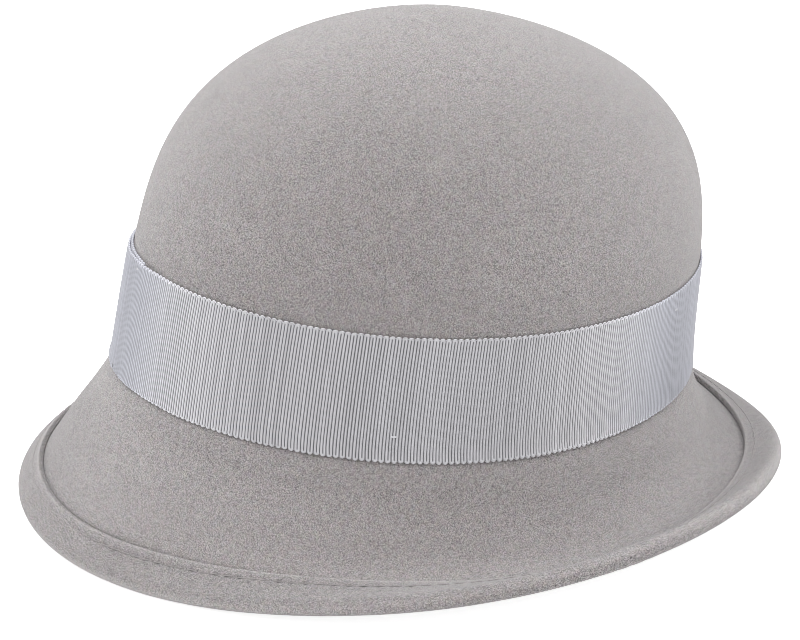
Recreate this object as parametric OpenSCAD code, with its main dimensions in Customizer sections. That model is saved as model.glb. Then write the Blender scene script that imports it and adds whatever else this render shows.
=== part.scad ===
// Felt cloche hat: a round blocked crown, a short bell brim with a turned-up
// stitched and wired hem, a ribbon band lapped at the wearer's right front,
// and an inner sweatband with a drawn size cord.
// Millimetres. The hat stands on its brim on a level table: +Z up, -Y is the
// front, +X is the wearer's left. The origin is the middle of its footprint,
// at table height.
// Every piece is laid out in the hat's own axes (z = 0 at the crown and brim
// break, z along the crown) and then stood on the table by stand(). A turn is
// an angle round the hat: 0 is the front, 90 the wearer's left, 180 the back.

/* [Crown] */
// Girth outside the felt at the crown and brim break
crown_girth = 598; // [570:1:630]
// Width of the head oval divided by its length
oval_ratio = 0.842; // [0.80:0.002:0.90]
// Height of the crown above the break
crown_h = 120.8; // [105:0.5:130]
// How straight the crown wall stays before it turns over (higher is straighter)
crown_wall = 3.93; // [3.4:0.01:4.4]
// How round the top of the crown is (2 is an ellipse)
crown_round = 1.56; // [1.4:0.005:2.0]
// Share of width lost evenly towards the top
crown_taper = 0.148; // [0.10:0.002:0.18]
// Share of width given back in the upper half
crown_barrel = 0.234; // [0.18:0.002:0.26]
// Share of width taken away again near the top
crown_barrel_2 = -0.045; // [-0.08:0.001:0]
// Backward lean of the crown, part that grows evenly with height
crown_lean = -1.0; // [-3:0.1:3]
// Backward lean of the crown, part that grows with height squared
crown_lean_2 = 27.55; // [20:0.05:32]
// Backward lean of the crown, part that grows with height cubed
crown_lean_3 = -24.95; // [-30:0.05:-18]
// Felt thickness
felt_t = 2.6; // [2.2:0.1:3.0]

/* [Brim] */
// Mean radius of the brim edge
edge_r = 129; // [124:0.5:136]
// Brim edge reach, more in front and less behind
edge_front = -0.85; // [-3:0.1:4]
// Brim edge reach, more in front and behind than at the sides
edge_long = -5.03; // [-7:0.01:3]
// Brim edge reach, three-lobed part
edge_lobe = 2.58; // [-3:0.01:4]
// Brim edge reach, more on the wearer's left
edge_left = -1.51; // [-4:0.01:4]
// Brim edge reach, more on one diagonal
edge_diag = -3.26; // [-5:0.01:3]
// Brim edge reach, three-lobed part turned sideways
edge_lobe_side = -1.25; // [-3:0.01:3]
// Brim edge reach, four-lobed part
edge_four = 0.45; // [-2:0.01:2]
// Brim edge reach, four-lobed part turned between
edge_four_diag = -1.65; // [-3:0.01:3]
// Mean drop of the brim edge below the break
drop = 34.65; // [28:0.05:40]
// Extra drop in front, lift behind
drop_front = 19.12; // [12:0.02:22]
// Extra drop in front and behind
drop_long = 4.74; // [0:0.02:6]
// Extra drop, three-lobed part
drop_lobe = -1.98; // [-4:0.02:2]
// Extra drop on the wearer's left (negative dips on the right)
drop_left = -10.87; // [-14:0.01:2]
// Extra drop on one diagonal
drop_diag = 0.78; // [-2:0.02:2]
// Extra drop, three-lobed part turned sideways
drop_lobe_side = 2.92; // [-2:0.02:4]
// Extra drop, four-lobed part
drop_four = 0.63; // [-2:0.01:2]
// Extra drop, four-lobed part turned between
drop_four_diag = -0.43; // [-2:0.01:2]
// Hollow of the bell between the break and the edge
bell = -12.45; // [-15:0.05:-6]
// Change of the hollow from back to front
bell_front = 6.09; // [0:0.01:8]
// Change of the hollow, front and back against the sides
bell_long = 4.18; // [0:0.02:6]
// Change of the hollow towards the wearer's left
bell_left = -7.98; // [-10:0.02:0]
// Change of the hollow on one diagonal
bell_diag = -0.82; // [-3:0.02:3]
// Flattening of the hollow's middle
bell_flat = -0.27; // [-0.6:0.01:0.6]

/* [Hem] */
// Mean width of the turned-up hem
hem_mean = 12.4; // [11:0.1:14]
// Extra hem width in front
hem_front = 0.8; // [-1:0.05:1]
// Extra hem width on the wearer's left
hem_left = -0.58; // [-1:0.02:1]
// Radius of the rounded fold at the brim edge
fold_r = 2.9; // [2.8:0.05:3.2]
// Height of the raw felt edge above the brim
raw_edge_h = 2.0; // [1.7:0.1:2.4]
// Distance of the stitch row from the raw edge
stitch_in = 3.5; // [2.2:0.1:3.5]
// Number of stitches round the hem
stitches = 155; // [120:1:170]
// Radius of the covered wire in the fold
wire_r = 0.75; // [0.6:0.05:0.8]

/* [Ribbon band] */
// Mean height of the ribbon's top edge above the break
band_h = 39.4; // [36:0.1:46]
// Width of the ribbon
band_w = 40.3; // [36:0.1:44]
// Thickness of the ribbon
band_t = 0.7; // [0.5:0.05:0.9]
// Where the lap begins, degrees from the front towards the wearer's right
lap_at = 3; // [0:1:60]
// Length of the lap, degrees round the crown
lap_len = 40; // [20:1:60]
// How much lower the outer layer sits in the lap
lap_drop = 1.2; // [0:0.1:2]

/* [Sweatband] */
// Height of the sweatband
sweat_h = 30; // [26:0.5:34]
// Thickness of the sweatband
sweat_t = 0.9; // [0.7:0.05:1.0]
// Gap between the sweatband's ends at the back, degrees
sweat_gap = 9; // [7:0.5:14]
// Radius of the size cord
cord_r = 0.7; // [0.5:0.05:0.8]

/* [Hidden] */
station_n = 84; // stations round the hat
station_step = 360 / station_n;
back = station_n / 2; // number of the station at the back
band_gap = 0.15; // between the felt and the ribbon
layer_step = band_t + 0.15; // from one ribbon layer to the next in the lap
wire_in = fold_r; // the wire's centre, in from the outermost edge
wire_up = 0.2; // and above the brim's upper face
channel_r = 1.3; // tunnel the wire lies in
lining_gap = 0.25; // between the felt and the sweatband
tunnel_in = sweat_t + 1.15; // cord tunnel's centre, in from the sweatband's outer face
tunnel_z = sweat_h - 1.1; // and its height

// ---- shared maths ----
function unit(v) = v / norm(v);
// a vector in the plane, turned a quarter anticlockwise
function square(v) = [-v.y, v.x];
// a mean with cosine and sine parts that go once, twice, ... round the hat
function waves(turn, mean, cosines, sines) = mean
    + cosines * [for (k = [1:len(cosines)]) cos(k * turn)]
    + sines * [for (k = [1:len(sines)]) sin(k * turn)];
function clamp(x) = min(1, max(0, x));
// eases from 0 to 1 as x goes from 0 to 1
function ease(x) = let (q = clamp(x)) q * q * (3 - 2 * q);

// ---- crown ----
// head oval: half length and half width outside the felt, from the girth
function perimeter(a, b) = PI * (3 * (a + b) - sqrt((3 * a + b) * (a + 3 * b)));
half_l = crown_girth / perimeter(oval_ratio, 1);
half_w = oval_ratio * half_l;
// width share and backward lean at height share u
function width_at(u) = pow(max(0, 1 - pow(u, crown_wall)), 1 / crown_round)
    * (1 - crown_taper * u + crown_barrel * u * u + crown_barrel_2 * u * u * u);
function lean_at(u) = crown_lean * u + crown_lean_2 * u * u + crown_lean_3 * u * u * u;
// a crown point at height share u, on a crown grown by off in every half axis
function crown_pt(turn, u, off) = let (w = width_at(u))
    [(half_w + off) * w * sin(turn), -(half_l + off) * w * cos(turn) + lean_at(u),
     (crown_h + off) * u];
// a wall point at height z in millimetres, moved out level by off
function wall_pt(turn, z, off) = let (u = z / crown_h, w = width_at(u))
    [(half_w * w + off) * sin(turn), -(half_l * w + off) * cos(turn) + lean_at(u), z];
// height share of crown ring i of n
function crown_u(i, n) = pow(sin(90 * pow(i / n, 1.8)), 2 / crown_wall);

// ---- brim ----
bow_slant = 55; // slant length at which the bell's hollow has its stated depth
function reach(turn) = waves(turn, edge_r, [edge_front, edge_long, edge_lobe, edge_four],
    [edge_left, edge_diag, edge_lobe_side, edge_four_diag]);
function fall(turn) = waves(turn, drop, [drop_front, drop_long, drop_lobe, drop_four],
    [drop_left, drop_diag, drop_lobe_side, drop_four_diag]);
function hollow(turn) = waves(turn, bell, [bell_front, bell_long], [bell_left, bell_diag]);
// uneven part of the hollow: one way near the break, the other near the edge
function curl(turn) = waves(turn, 0.41, [1.13, -0.10], [1.35, 0.77]);
function hem_w(turn) = waves(turn, hem_mean, [hem_front], [hem_left]);

// columns of a station
BASE = 0;  // foot of the crown, [x, y]
OUT = 1;   // unit direction outward, [x, y]
CHORD = 2; // break to brim edge, [outward, z]
SLANT = 3; // length of the chord
BOW = 4;   // depths of the section's one, two and three half waves off the chord
HEM = 5;   // hem width
function station(turn) = let (
    base = [half_w * sin(turn), -half_l * cos(turn)],
    edge = [reach(turn) * sin(turn), -reach(turn) * cos(turn)],
    chord = [norm(edge - base), -fall(turn)],
    slant = norm(chord))
    [base, unit(edge - base), chord, slant,
     pow(slant / bow_slant, 2) * [hollow(turn), curl(turn), bell_flat], hem_w(turn)];
stations = [for (i = [0:station_n - 1]) station(i * station_step)];

// In the functions below, at is a station.
// brim section at a share of the slant: point and direction in the plane [outward, z]
function section_pt(at, share) = share * at[CHORD]
    + (at[BOW] * [for (k = [1:3]) sin(180 * k * share)]) * square(at[CHORD]) / at[SLANT];
function section_dir(at, share) = unit(at[CHORD]
    + PI * (at[BOW] * [for (k = [1:3]) k * cos(180 * k * share)])
    * square(at[CHORD]) / at[SLANT]);
// a section point put in the hat's axes
function lift(at, p) = concat(at[BASE] + p.x * at[OUT], [p.y]);
// brim point at a share of the slant, h above the upper face
function brim_pt(at, share, h) =
    lift(at, section_pt(at, share) + h * square(section_dir(at, share)));
// the same, inset millimetres in from the edge
function rim_pt(at, inset, h) = brim_pt(at, 1 - inset / at[SLANT], h);
// a point on a circle of radius r round the wire's centre, angle from straight out
function fold_pt(at, r, angle) = let (
    share = 1 - wire_in / at[SLANT],
    dir = section_dir(at, share),
    normal = square(dir))
    lift(at, section_pt(at, share) + wire_up * normal
        + r * (cos(angle) * dir + sin(angle) * normal));
// outside of the fold, from the hem's top round to the brim's underside
function fold_outside(at) = concat([for (angle = [78, 40, 0, -40, -78]) fold_pt(at, fold_r, angle)],
    [rim_pt(at, wire_in + 3.2, -felt_t)]);
// height of the hem's top face above the brim
function hem_top(at, inset) = raw_edge_h
    + (fold_r + wire_up - raw_edge_h) * clamp((at[HEM] - inset) / (at[HEM] - wire_in));
// a point off the felt's outer face: height z on the crown, or -z down the brim
function skin_pt(turn, z, off) = z >= 0 ? wall_pt(turn, z, off)
    : let (at = station(turn)) brim_pt(at, -z / at[SLANT], off);

// ---- standing on the brim ----
// the table is parallel to the plane through the wire's centre at these three turns
rest_turns = [15, -86, 173];
feet = [for (turn = rest_turns) fold_pt(station(turn), 0, 0)];
feet_normal = cross(feet[1] - feet[0], feet[2] - feet[0]);
up_z = unit(feet_normal) * (feet_normal.z < 0 ? -1 : 1);
up_y = unit([0, 1, 0] - up_z * up_z.y);
axes = [cross(up_y, up_z), up_y, up_z];
rim = [for (at = stations) for (p = fold_outside(at)) axes * p];
rim_x = [for (p = rim) p.x];
rim_y = [for (p = rim) p.y];
rim_z = [for (p = rim) p.z];
shift = [-(min(rim_x) + max(rim_x)) / 2, -(min(rim_y) + max(rim_y)) / 2, -min(rim_z)];
module stand() {
    multmatrix(concat([for (k = [0:2]) concat(axes[k], [shift[k]])], [[0, 0, 0, 1]])) children();
}

// ---- meshing helpers ----
function flatten(lists) = [for (list = lists) each list];
function quad(a, b, c, d) = [[a, b, c], [a, c, d]];
function flip(faces) = [for (f = faces) [f[0], f[2], f[1]]];
// faces between n closed rings of m points, numbered from first
function tube_faces(n, m, first = 0) = [for (i = [0:n - 2]) for (j = [0:m - 1])
    let (p = first + i * m, next = (j + 1) % m)
    each quad(p + j, p + next, p + m + next, p + m + j)];
// a ring of m points closed by a ladder of quads between its two halves
function cap_faces(m, first = 0) = [for (j = [0:floor(m / 2) - 2])
    let (far = first + m - 1 - j, near = first + j) each quad(far, far - 1, near + 1, near)];
// joins rings into a solid strip with closed ends
module strip_skin(rings) {
    n = len(rings);
    m = len(rings[0]);
    polyhedron(points = flatten(rings),
        faces = concat(tube_faces(n, m), cap_faces(m), flip(cap_faces(m, (n - 1) * m))),
        convexity = 10);
}
// many six-sided blocks, each given by its eight corners (first four, then opposite four)
module blocks(list) {
    block_faces = [[0, 1, 2], [0, 2, 3], [4, 6, 5], [4, 7, 6], [0, 5, 1], [0, 4, 5],
        [1, 6, 2], [1, 5, 6], [2, 7, 3], [2, 6, 7], [3, 4, 0], [3, 7, 4]];
    polyhedron(points = flatten(list),
        faces = [for (k = [0:len(list) - 1]) for (f = block_faces) [for (v = f) v + 8 * k]],
        convexity = 4);
}
// corners of a block on the crown wall, between two turns, heights and offsets
function wall_block(turn0, turn1, z0, z1, off0, off1) = [for (off = [off0, off1])
    each [wall_pt(turn0, z0, off), wall_pt(turn1, z0, off),
          wall_pt(turn1, z1, off), wall_pt(turn0, z1, off)]];

// ---- felt ----
// crown, brim and turned-up hem: one blocked felt hood
module felt_body() {
    crown_out_n = 14;
    crown_in_n = 12;
    brim_top_n = 7;
    brim_under_n = 8;
    pocket = 0.6; // share of the hem width where the wire's tunnel opens into a slit
    slit_h = 0.4; // between the brim and the hem
    // section from the crown's outer top, down, round the hem and up to its inner top
    function section(i) = let (
        at = stations[i],
        turn = i * station_step,
        hem = at[HEM],
        hem_start = 1 - hem / at[SLANT],
        stitch_at = hem - stitch_in)
        concat(
            [for (k = [crown_out_n - 1:-1:0]) crown_pt(turn, crown_u(k, crown_out_n), 0)],
            [for (k = [1:brim_top_n]) brim_pt(at, k / brim_top_n * hem_start, 0)],
            // slit floor, wire tunnel, slit roof
            [rim_pt(at, hem * pocket, 0)],
            [for (angle = [-160, -108, -54, 0, 54, 108, 160]) fold_pt(at, channel_r, angle)],
            [rim_pt(at, hem * pocket, slit_h), rim_pt(at, hem - 0.15, slit_h)],
            // raw edge, softened, then the hem's top face
            [rim_pt(at, hem, raw_edge_h - 0.3), rim_pt(at, hem - 0.5, raw_edge_h + 0.05)],
            [rim_pt(at, stitch_at, hem_top(at, stitch_at)),
             rim_pt(at, wire_in + 1.6, fold_r + wire_up - 0.12)],
            fold_outside(at),
            [for (k = [brim_under_n:-1:0]) brim_pt(at, k / brim_under_n * hem_start, -felt_t)],
            [for (k = [1:crown_in_n - 1]) crown_pt(turn, crown_u(k, crown_in_n), -felt_t)]);
    sections = [for (i = [0:station_n - 1]) section(i)];
    m = len(sections[0]);
    outer_top = station_n * m;
    inner_top = outer_top + 1;
    starts = [for (i = [0:station_n]) (i % station_n) * m];
    color("#9d9796") stand() polyhedron(
        points = concat(flatten(sections), [crown_pt(0, 1, 0), crown_pt(0, 1, -felt_t)]),
        faces = concat(
            [for (i = [0:station_n - 1]) for (j = [0:m - 2]) let (p = starts[i] + j,
                q = starts[i + 1] + j) each quad(p, p + 1, q + 1, q)],
            [for (i = [0:station_n - 1]) [outer_top, starts[i], starts[i + 1]]],
            [for (i = [0:station_n - 1])
                [inner_top, starts[i + 1] + m - 1, starts[i] + m - 1]]),
        convexity = 12);
}

// ---- wire ----
// eight points round the wire's centre
function wire_ring(at, r) = [for (angle = [22.5:45:360]) fold_pt(at, r, angle)];
// covered wire in the fold: an open ring whose ends almost meet at the back
module brim_wire() {
    half_gap = 0.3; // degrees
    turns = concat([180 + half_gap],
        [for (i = [back + 1:station_n + back - 1]) i * station_step], [180 - half_gap]);
    color("#e4e2dc") stand() strip_skin([for (turn = turns) wire_ring(station(turn), wire_r)]);
}
// steel sleeve over the wire's two ends
module wire_joiner() {
    reach_n = 3; // stations to each side of the back
    outer_r = wire_r + 0.32;
    inner_r = wire_r + 0.07;
    n = 2 * reach_n + 1;
    m = 8;
    inner = n * m; // number of the first inner point
    // flat ring between the outer and inner circles at one end
    function end_faces(first) = [for (j = [0:m - 1])
        let (a = first + j, b = first + (j + 1) % m) each quad(a, b, inner + b, inner + a)];
    color("#b9bcc0") stand() polyhedron(
        points = [for (r = [outer_r, inner_r]) for (i = [-reach_n:reach_n])
            each wire_ring(stations[back + i], r)],
        faces = concat(tube_faces(n, m), flip(tube_faces(n, m, inner)),
            flip(end_faces(0)), end_faces(inner - m)),
        convexity = 6);
}

// ---- hem stitching ----
hem_thread_t = 0.3;
// one hem stitch: a short block along the rim, from h0 above the brim
function hem_stitch(turn, h0) = let (
    half_len = 0.34 * 360 / stitches,
    half_wide = 0.2,
    start = station(turn - half_len),
    end = station(turn + half_len),
    start_in = start[HEM] - stitch_in,
    end_in = end[HEM] - stitch_in)
    [for (h = [h0, h0 + hem_thread_t])
        each [rim_pt(start, start_in + half_wide, h), rim_pt(start, start_in - half_wide, h),
              rim_pt(end, end_in - half_wide, h), rim_pt(end, end_in + half_wide, h)]];
function hem_row(h0) = [for (i = [0:stitches - 1]) hem_stitch((i + 0.5) * 360 / stitches, h0)];
// needle thread: the visible stitch row on the turned-up hem
module hem_stitch_top() {
    front = stations[0];
    color("#b3adab") stand() blocks(hem_row(hem_top(front, front[HEM] - stitch_in) + 0.16));
}
// bobbin thread: the same row under the brim
module hem_stitch_under() {
    color("#a9a3a1") stand() blocks(hem_row(-felt_t - 0.14 - hem_thread_t));
}

// ---- ribbon band ----
// one ribbon strip that runs round the crown and laps over its own start
module hat_band() {
    n = station_n + round(lap_len / station_step);
    rise = 10; // degrees over which the ribbon climbs onto its start
    cuts = [0, 0.13, 0.4, 0.7, 1]; // shares of the width, from the lower edge
    // along is degrees from the ribbon's start
    function lap_out(along) = layer_step * ease((along - 360 + rise) / rise);
    function lap_down(along) = lap_drop * ease((along - 358) / 18);
    function top_z(turn) = waves(turn, band_h, [-1.17, 2.1], [0.54, -0.37]);
    function ring(along) = let (
        turn = -lap_at - along,
        z0 = top_z(turn) - band_w - cos(turn + 60) - lap_down(along) * 0.3,
        z1 = top_z(turn) - lap_down(along),
        off = band_gap + lap_out(along))
        concat([for (k = [0:4]) skin_pt(turn, z0 + (z1 - z0) * cuts[k], off)],
               [for (k = [4:-1:0]) skin_pt(turn, z0 + (z1 - z0) * cuts[k], off + band_t)]);
    color("#bdbdc2") stand() strip_skin([for (i = [0:n]) ring(i * (360 + lap_len) / n)]);
}
// hand stitches over the ribbon's edges
module band_tacks() {
    thread_t = 0.25;
    half_turn = 0.5;
    half_high = 0.2;
    lap_end = -lap_at - lap_len;
    // turn, height, layers of ribbon under the stitch
    tacks = [[-lap_at - 1.5, 37.75, 2], [62, 6.25, 1], [125, 34, 1], [185, 6, 1],
        [240, 33, 1], [290, 4, 1], [lap_end + 1.5, 5, 2], [lap_end + 1.5, 36, 2]];
    function tack(turn, z, layers) =
        let (off = band_gap + band_t + 0.08 + (layers - 1) * layer_step)
        wall_block(turn + half_turn, turn - half_turn, z - half_high, z + half_high,
            off, off + thread_t);
    color("#e6e6e8") stand() blocks([for (p = tacks) tack(p[0], p[1], p[2])]);
}

// ---- sweatband ----
// wall offset of a place inset millimetres inside the sweatband's outer face
function lining_off(inset) = -felt_t - lining_gap - inset;
function lining_pt(turn, inset, z) = wall_pt(turn, z, lining_off(inset));
// turn at a share of the way round, from one end of the sweatband to the other
function sweat_turn(share) = 180 + sweat_gap / 2 + share * (360 - sweat_gap);
// inner band, its top edge folded inward into a tunnel for the cord
module sweatband() {
    foot_z = 1.5;
    flap_z = sweat_h - 6.5; // free edge of the folded top
    function arc(r, angles) =
        [for (angle = angles) [tunnel_in + r * cos(angle), tunnel_z + r * sin(angle)]];
    // [inset, z]: up the outer face, round the fold, back inside it and down the inner face
    outline = concat(
        [[0, foot_z], [0, sweat_h / 3], [0, sweat_h * 2 / 3], [0, sweat_h - 0.4]],
        arc(1.75, [110, 70, 30, -10, -50]),
        [[sweat_t + 0.95, flap_z], [sweat_t + 0.3, flap_z]],
        arc(1.05, [-62, -20, 25, 70, 115]),
        [[sweat_t, sweat_h - 1.6], [sweat_t, sweat_h * 2 / 3 - 0.5], [sweat_t, sweat_h / 3],
         [sweat_t, foot_z]]);
    color("#a9a7a9") stand() strip_skin([for (i = [0:station_n])
        [for (p = outline) lining_pt(sweat_turn(i / station_n), p.x, p.y)]]);
}
// running stitch along the sweatband's lower edge
module sweatband_stitching() {
    stitch_n = 96;
    thread_t = 0.25;
    half_turn = 1.2;
    inset = sweat_t + 0.08;
    color("#8f8b8c") stand() blocks([for (i = [0:stitch_n - 1])
        let (turn = sweat_turn((i + 0.5) / stitch_n))
        wall_block(turn - half_turn, turn + half_turn, 3.2, 3.6,
            lining_off(inset), lining_off(inset + thread_t))]);
}
// drawn cord: lies in the tunnel, comes out at the back and ties in a flat bow
module size_cord() {
    tunnel_n = 72;
    end_n = 20;
    // places are [degrees from the back, inset, z]
    mouth = [sweat_gap / 2, tunnel_in, tunnel_z];
    knot = [0.9, tunnel_in - 0.4, tunnel_z - 1.5];
    loop_half = [3.348, 3.4]; // half width in degrees, half height
    loop_shift = [0, 1.9, -0.8]; // from the loop's start to its end
    tail = [3.6, 0, -15];
    knot_at = 0.2; // shares of the cord end where the knot and the tail come
    tail_at = 0.75;
    // from the tunnel's mouth to the knot, round a loop and down a tail
    function cord_end(q) =
        q < knot_at ? mouth + (knot - mouth) * q / knot_at
        : q < tail_at ? let (s = (q - knot_at) / (tail_at - knot_at), angle = 360 * s)
            knot + s * loop_shift
                + [loop_half.x * (1 - cos(angle)), 0, loop_half.y * sin(angle)]
        : knot + loop_shift + tail * (q - tail_at) / (1 - tail_at);
    function end_pt(k, side) = let (p = cord_end(k / end_n))
        lining_pt(180 + side * p.x, p.y, p.z);
    path = concat(
        [for (k = [end_n:-1:1]) end_pt(k, 1)],
        [for (i = [0:tunnel_n]) lining_pt(sweat_turn(i / tunnel_n), tunnel_in, tunnel_z)],
        [for (k = [1:end_n]) end_pt(k, -1)]);
    last = len(path) - 1;
    function ring(i) = let (
        along = unit(path[min(last, i + 1)] - path[max(0, i - 1)]),
        outward = unit([path[i].x, path[i].y, 0.01]),
        u = unit(cross(along, outward)),
        v = cross(u, along))
        [for (angle = [0:60:300]) path[i] + cord_r * (cos(angle) * u + sin(angle) * v)];
    color("#cfcdca") stand() strip_skin([for (i = [0:last]) ring(i)]);
}
// a curved patch on the sweatband's inner face
module patch(turn0, turn1, z0, z1, thick) {
    n = 8;
    inset = sweat_t + 0.1;
    strip_skin([for (i = [0:n]) let (turn = turn0 + (turn1 - turn0) * i / n)
        [lining_pt(turn, inset, z0), lining_pt(turn, inset, z1),
         lining_pt(turn, inset + thick, z1), lining_pt(turn, inset + thick, z0)]]);
}
// blank label on the wearer's left of the sweatband
module main_label() {
    color("#3f3d40") stand() patch(turn0 = 72, turn1 = 104, z0 = 6.5, z1 = 20.5, thick = 0.35);
}
// blank tab on the sweatband near the back, on the wearer's right
module size_tab() {
    color("#f0efec") stand() patch(turn0 = 205, turn1 = 212, z0 = 5, z1 = 17, thick = 0.3);
}

felt_body();
brim_wire();
wire_joiner();
hem_stitch_top();
hem_stitch_under();
hat_band();
band_tacks();
sweatband();
sweatband_stitching();
size_cord();
main_label();
size_tab();
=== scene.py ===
# Felt cloche hat: blocked crown, drooping brim with a wired hem, corded ribbon
# band, and a sweatband, drawcord and blank labels inside.
# Shapes are laid out in the hat's own axes in millimetres: z = 0 at the break
# between crown and brim, -Y front, +X the wearer's left. "turn" is the angle
# round the hat in radians, from the front towards the wearer's left. The frame
# is in metres, with the hat tilted so that it stands on the table.
import math
from types import SimpleNamespace

import bpy
import numpy as np
from mathutils import Matrix, Vector


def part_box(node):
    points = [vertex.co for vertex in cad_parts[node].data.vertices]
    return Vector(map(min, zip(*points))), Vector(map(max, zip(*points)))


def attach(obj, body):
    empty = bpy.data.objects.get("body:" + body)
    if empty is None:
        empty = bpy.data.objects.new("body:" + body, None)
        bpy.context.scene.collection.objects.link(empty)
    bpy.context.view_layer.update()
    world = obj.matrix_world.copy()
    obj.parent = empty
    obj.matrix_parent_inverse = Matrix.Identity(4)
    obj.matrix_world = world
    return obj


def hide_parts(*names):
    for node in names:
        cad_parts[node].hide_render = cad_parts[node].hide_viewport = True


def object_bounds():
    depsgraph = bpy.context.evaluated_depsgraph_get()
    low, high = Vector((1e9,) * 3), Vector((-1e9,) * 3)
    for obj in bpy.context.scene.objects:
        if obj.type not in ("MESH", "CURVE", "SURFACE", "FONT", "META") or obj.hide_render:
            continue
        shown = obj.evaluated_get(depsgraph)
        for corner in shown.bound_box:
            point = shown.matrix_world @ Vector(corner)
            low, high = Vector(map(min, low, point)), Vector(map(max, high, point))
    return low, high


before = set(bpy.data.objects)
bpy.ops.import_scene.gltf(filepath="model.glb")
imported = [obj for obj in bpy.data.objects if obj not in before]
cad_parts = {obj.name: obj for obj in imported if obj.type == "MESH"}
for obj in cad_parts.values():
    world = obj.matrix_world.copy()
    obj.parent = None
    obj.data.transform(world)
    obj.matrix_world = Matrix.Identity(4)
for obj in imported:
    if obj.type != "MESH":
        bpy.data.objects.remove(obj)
cad_lo, cad_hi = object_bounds()
pi = math.pi
TAU = 2 * pi

# ------------------------------------------------------------ dimensions ---
HEAD_ROUND, HEAD_RATIO = 598, .842      # girth at the break, width over length
CROWN_H = 120.8
WALL_POWER, ROUND_POWER = 3.93, 1.56    # straightness of the wall, roundness of the top
FELT_T = 2.6
FOLD_R, FOLD_LIFT = 2.9, .2             # rolled rim: radius, centre above the brim's line
TUNNEL_R = 1.3                          # tunnel for the wire inside the fold
HEM_H, HEM_RISE = 2.0, 1.2              # hem height at its cut edge, extra height at the rim
STITCHES, STITCH_IN = 155, 3.5          # hem stitches, their distance from the cut edge
BREAK_REACH = 11                        # brim length where the eased break ends
PRESS = .13                             # depth of the dent along the ribbon's edges

BAND_T, BAND_GAP, BAND_W = .7, .15, 40.3
LAP_AT, LAP_LEN, LAP_DROP = 3, 40, 1.2  # ribbon ends: degrees, degrees, millimetres

SWEAT_H, SWEAT_T = 30, .9
SWEAT_OPEN = 9                          # opening at the back, degrees
SWEAT_GAP = .25                         # between the felt and the sweatband
CORD_R = .7
CORD_IN, CORD_Z = SWEAT_T + 1.15, SWEAT_H - 1.1    # cord centre: inward, height
WIRE_R = .75


def ellipse_round(a, b):
    return pi * (3 * (a + b) - math.sqrt((3 * a + b) * (a + 3 * b)))


HALF_LENGTH = HEAD_ROUND / ellipse_round(HEAD_RATIO, 1)
HALF_WIDTH = HEAD_RATIO * HALF_LENGTH


# ------------------------------------------------------------------ shape ---
def smooth(x):
    x = np.clip(x, 0, 1)
    return x * x * (3 - 2 * x)


def unit(vectors):
    return vectors / np.linalg.norm(vectors, axis=-1, keepdims=True)


def ring_turns(count):
    return np.arange(count) * TAU / count


def waves(turn, mean, cosines, sines):
    """A closed curve round the hat: a mean plus one, two, three... waves."""
    return (mean + sum(size * np.cos(k * turn) for k, size in enumerate(cosines, 1))
            + sum(size * np.sin(k * turn) for k, size in enumerate(sines, 1)))


def width(share):
    """Width of the crown at a share of its height, 1 at the break."""
    closing = np.maximum(0, 1 - share ** WALL_POWER) ** (1 / ROUND_POWER)
    return closing * (1 - .148 * share + .234 * share * share - .045 * share ** 3)


def lean(share):
    """Shift of the crown towards the back."""
    return -1.0 * share + 27.55 * share * share - 24.95 * share ** 3


def soft_crown(turn, share):
    """Slow unevenness of the blocked crown above the ribbon."""
    amount = smooth((share - .40) / .25) * np.minimum(1, width(share) * 1.6)
    return amount * (.17 * np.sin(2 * turn + .7 + 2.2 * share)
                     + .12 * np.sin(3 * turn + 2.6 - 3 * share)
                     + .07 * np.sin(5 * turn + 1.1 + 5 * share))


def crown(turn, share, out):
    wide = width(share)
    out = out + soft_crown(turn, share)
    return np.stack([(HALF_WIDTH + out) * wide * np.sin(turn),
                     -(HALF_LENGTH + out) * wide * np.cos(turn) + lean(share),
                     (CROWN_H + out) * share + 0 * turn], -1)


def wall(turn, z, out):
    """The lower crown without unevenness, pushed straight outward."""
    share = np.maximum(0, z) / CROWN_H
    wide = width(share)
    return np.stack([(HALF_WIDTH * wide + out) * np.sin(turn),
                     -(HALF_LENGTH * wide + out) * np.cos(turn) + lean(share),
                     z + 0 * turn], -1)


def inside(turn, inward, z):
    """Point at a distance inward from the sweatband's outer face."""
    return wall(turn, z, -FELT_T - SWEAT_GAP - inward)


def station(turn):
    """Brim lines at the given turns: from the break out and down to the rim."""
    base = np.stack([HALF_WIDTH * np.sin(turn), -HALF_LENGTH * np.cos(turn)], -1)
    reach = waves(turn, 129, (-.85, -5.03, 2.58, .45), (-1.51, -3.26, -1.25, -1.65))
    end = np.stack([reach * np.sin(turn), -reach * np.cos(turn)], -1)
    run = np.hypot(end[..., 0] - base[..., 0], end[..., 1] - base[..., 1])
    fall = waves(turn, 34.65, (19.12, 4.74, -1.98, .63), (-10.87, .78, 2.92, -.43))
    length = np.hypot(run, fall)
    scale = (length / 55) ** 2
    return SimpleNamespace(
        turn=turn, base=base, heading=(end - base) / run[..., None],
        run=run, fall=fall, length=length,
        bow=waves(turn, -12.45, (6.09, 4.18), (-7.98, -.82)) * scale,
        skew=waves(turn, .41, (1.13, -.10), (1.35, .77)) * scale,
        ripple=-.27 * scale,
        hem=waves(turn, 12.4, (.80,), (-.58,)))


def soft_brim(turn, share):
    return smooth(share / .7) * (.13 * np.sin(3 * turn + .6) + .10 * np.sin(5 * turn + 2.1)
                                 + .06 * np.sin(8 * turn + 1.3))


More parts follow.
